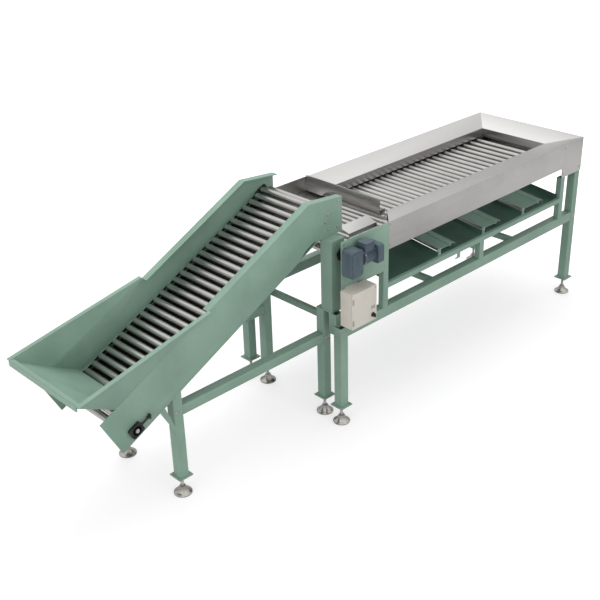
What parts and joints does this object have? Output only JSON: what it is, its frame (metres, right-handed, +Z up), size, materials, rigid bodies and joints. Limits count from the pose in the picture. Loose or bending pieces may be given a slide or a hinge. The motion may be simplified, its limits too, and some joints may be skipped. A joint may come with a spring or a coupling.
{
  "type": "roller sorting machine",
  "caption": "inclined roller elevator with a flared feed hopper that lifts round crop onto a roller table with widening gaps over sloping chutes, on a tubular frame with levelling feet",
  "frame": {"origin": "middle of the footprint of the bounding box, on the floor under the levelling feet", "axes": "+Z up, +X from the feed hopper to the far end of the table, the gear motor and the control box on the -Y side"},
  "size_m": [4.2988, 1.0832, 1.4671],
  "materials": {
    "sage_paint": "satin sage green paint",
    "dark_paint": "satin darker green paint",
    "stainless": "brushed stainless steel",
    "roller_steel": "polished steel",
    "motor_paint": "blue grey paint",
    "cast_black": "dark oiled cast iron and steel",
    "box_paint": "light warm grey powder coat",
    "black_plastic": "black"
  },
  "bodies": {
    "frame": {"elevator_side_near": "sage_paint", "elevator_side_far": "sage_paint", "feed_hopper": "sage_paint", "head_bearing_near": "cast_black", "head_bearing_far": "cast_black", "elevator_leg_front_near": "sage_paint", "elevator_leg_front_far": "sage_paint", "elevator_leg_rear_near": "sage_paint", "elevator_leg_rear_far": "sage_paint", "elevator_rail_near": "sage_paint", "elevator_rail_far": "sage_paint", "table_leg_front_near": "sage_paint", "table_leg_front_far": "sage_paint", "table_leg_rear_near": "sage_paint", "table_leg_rear_far": "sage_paint", "base_rail_near": "sage_paint", "base_rail_far": "sage_paint", "base_cross_front": "sage_paint", "base_cross_middle": "sage_paint", "base_cross_rear": "sage_paint", "trough_side_near": "stainless", "trough_side_far": "stainless", "trough_end": "stainless", "motor_plate": "sage_paint", "gear_motor": "motor_paint", "drive_chain": "cast_black", "elevator_chain": "cast_black", "control_box": "box_paint", "tray_rail_near": "sage_paint", "tray_rail_far": "sage_paint", "chute_1": "dark_paint", "chute_2": "dark_paint", "chute_3": "dark_paint", "chute_4": "dark_paint", "feed_skirt_near": "stainless"},
    "sorting_run": {"sorting_rollers_upper": "roller_steel"},
    "sorting_return": {"sorting_rollers_return": "roller_steel"},
    "sorting_drive": {"sorting_drive_shaft": "roller_steel"},
    "sorting_tail": {"sorting_tail_shaft": "roller_steel"},
    "elevator_run": {"elevator_rollers_upper": "roller_steel"},
    "elevator_return": {"elevator_rollers_return": "roller_steel"},
    "elevator_head": {"elevator_head_shaft": "roller_steel"},
    "take_up": {"take_up_bearing_near": "cast_black", "take_up_bearing_far": "cast_black"},
    "elevator_tail": {"elevator_tail_shaft": "roller_steel"},
    "drive_sprocket": {"motor_sprocket": "cast_black"},
    "gate": {"feed_gate": "stainless"},
    "door": {"control_box_door": "box_paint"},
    "knob": {"switch_knob": "black_plastic"},
    "flap_1": {"divider_flap_1": "sage_paint"},
    "flap_2": {"divider_flap_2": "sage_paint"},
    "flap_3": {"divider_flap_3": "sage_paint"},
    "foot_elevator_front_near": {"levelling_foot_elevator_front_near": "stainless"},
    "foot_elevator_front_far": {"levelling_foot_elevator_front_far": "stainless"},
    "foot_elevator_rear_near": {"levelling_foot_elevator_rear_near": "stainless"},
    "foot_elevator_rear_far": {"levelling_foot_elevator_rear_far": "stainless"},
    "foot_table_front_near": {"levelling_foot_table_front_near": "stainless"},
    "foot_table_front_far": {"levelling_foot_table_front_far": "stainless"},
    "foot_table_rear_near": {"levelling_foot_table_rear_near": "stainless"},
    "foot_table_rear_far": {"levelling_foot_table_rear_far": "stainless"}
  },
  "joints": [
    {"name": "sorting_travel", "type": "slide", "parent": "frame", "child": "sorting_run", "axis": [1, 0, 0], "range_m": [0, 0.054]},
    {"name": "sorting_return_travel", "type": "slide", "parent": "frame", "child": "sorting_return", "axis": [-1, 0, 0], "range_m": [0, 0.0541]},
    {"name": "sorting_drive_turn", "type": "hinge", "parent": "frame", "child": "sorting_drive", "pos_m": [-0.18035, 0.05995, 1.07343], "axis": [0, 1, 0], "range_deg": [0, 60.05]},
    {"name": "sorting_tail_turn", "type": "hinge", "parent": "frame", "child": "sorting_tail", "pos_m": [2.01965, 0.05995, 1.07343], "axis": [0, 1, 0], "range_deg": [0, 60.05]},
    {"name": "elevator_travel", "type": "slide", "parent": "frame", "child": "elevator_run", "axis": [0.8949, 0, 0.4462], "range_m": [0, 0.0572]},
    {"name": "elevator_return_travel", "type": "slide", "parent": "frame", "child": "elevator_return", "axis": [-0.8949, 0, -0.4462], "range_m": [0, 0.0572]},
    {"name": "elevator_head_turn", "type": "hinge", "parent": "frame", "child": "elevator_head", "pos_m": [-0.32813, 0.05995, 1.32951], "axis": [0, 1, 0], "range_deg": [0, 72.05]},
    {"name": "take_up_slide", "type": "slide", "parent": "frame", "child": "take_up", "axis": [-0.8949, 0, -0.4462], "range_m": [0, 0.012]},
    {"name": "elevator_tail_turn", "type": "hinge", "parent": "take_up", "child": "elevator_tail", "pos_m": [-1.81135, 0.05995, 0.59], "axis": [0, 1, 0], "range_deg": [0, 72.05]},
    {"name": "motor_turn", "type": "hinge", "parent": "frame", "child": "drive_sprocket", "pos_m": [-0.35535, 0.05995, 1.15], "axis": [0, 1, 0], "range_deg": [0, 77.2]},
    {"name": "gate_lift", "type": "slide", "parent": "frame", "child": "gate", "axis": [0, 0, 1], "range_m": [0, 0.08]},
    {"name": "door_hinge", "type": "hinge", "parent": "frame", "child": "door", "pos_m": [-0.43535, -0.50535, 0.845], "axis": [0, 0, -1], "range_deg": [0, 100]},
    {"name": "knob_turn", "type": "hinge", "parent": "door", "child": "knob", "pos_m": [-0.26035, -0.51765, 0.772], "axis": [0, -1, 0], "range_deg": [0, 90]},
    {"name": "flap_1_hinge", "type": "hinge", "parent": "frame", "child": "flap_1", "pos_m": [0.53665, -0.38171, 0.87208], "axis": [0, 0.9925, 0.1219], "range_deg": [-3, 4]},
    {"name": "flap_2_hinge", "type": "hinge", "parent": "frame", "child": "flap_2", "pos_m": [1.00665, -0.38171, 0.87208], "axis": [0, 0.9925, 0.1219], "range_deg": [-3, 4]},
    {"name": "flap_3_hinge", "type": "hinge", "parent": "frame", "child": "flap_3", "pos_m": [1.46365, -0.38171, 0.87208], "axis": [0, 0.9925, 0.1219], "range_deg": [-3, 4]},
    {"name": "foot_elevator_front_near_screw", "type": "slide", "parent": "frame", "child": "foot_elevator_front_near", "axis": [0, 0, -1], "range_m": [0, 0.02]},
    {"name": "foot_elevator_front_far_screw", "type": "slide", "parent": "frame", "child": "foot_elevator_front_far", "axis": [0, 0, -1], "range_m": [0, 0.02]},
    {"name": "foot_elevator_rear_near_screw", "type": "slide", "parent": "frame", "child": "foot_elevator_rear_near", "axis": [0, 0, -1], "range_m": [0, 0.02]},
    {"name": "foot_elevator_rear_far_screw", "type": "slide", "parent": "frame", "child": "foot_elevator_rear_far", "axis": [0, 0, -1], "range_m": [0, 0.02]},
    {"name": "foot_table_front_near_screw", "type": "slide", "parent": "frame", "child": "foot_table_front_near", "axis": [0, 0, -1], "range_m": [0, 0.02]},
    {"name": "foot_table_front_far_screw", "type": "slide", "parent": "frame", "child": "foot_table_front_far", "axis": [0, 0, -1], "range_m": [0, 0.02]},
    {"name": "foot_table_rear_near_screw", "type": "slide", "parent": "frame", "child": "foot_table_rear_near", "axis": [0, 0, -1], "range_m": [0, 0.02]},
    {"name": "foot_table_rear_far_screw", "type": "slide", "parent": "frame", "child": "foot_table_rear_far", "axis": [0, 0, -1], "range_m": [0, 0.02]}
  ],
  "couplings": [
    {"joint": "sorting_return_travel", "follows": "sorting_travel", "ratio": 1},
    {"joint": "sorting_drive_turn", "follows": "sorting_travel", "rad_per_m": 19.393},
    {"joint": "sorting_tail_turn", "follows": "sorting_travel", "rad_per_m": 19.393},
    {"joint": "elevator_travel", "follows": "sorting_travel", "ratio": 1.0583},
    {"joint": "elevator_return_travel", "follows": "sorting_travel", "ratio": 1.0583},
    {"joint": "elevator_head_turn", "follows": "sorting_travel", "rad_per_m": 23.271},
    {"joint": "elevator_tail_turn", "follows": "sorting_travel", "rad_per_m": 23.271},
    {"joint": "motor_turn", "follows": "sorting_travel", "rad_per_m": 24.933}
  ]
}
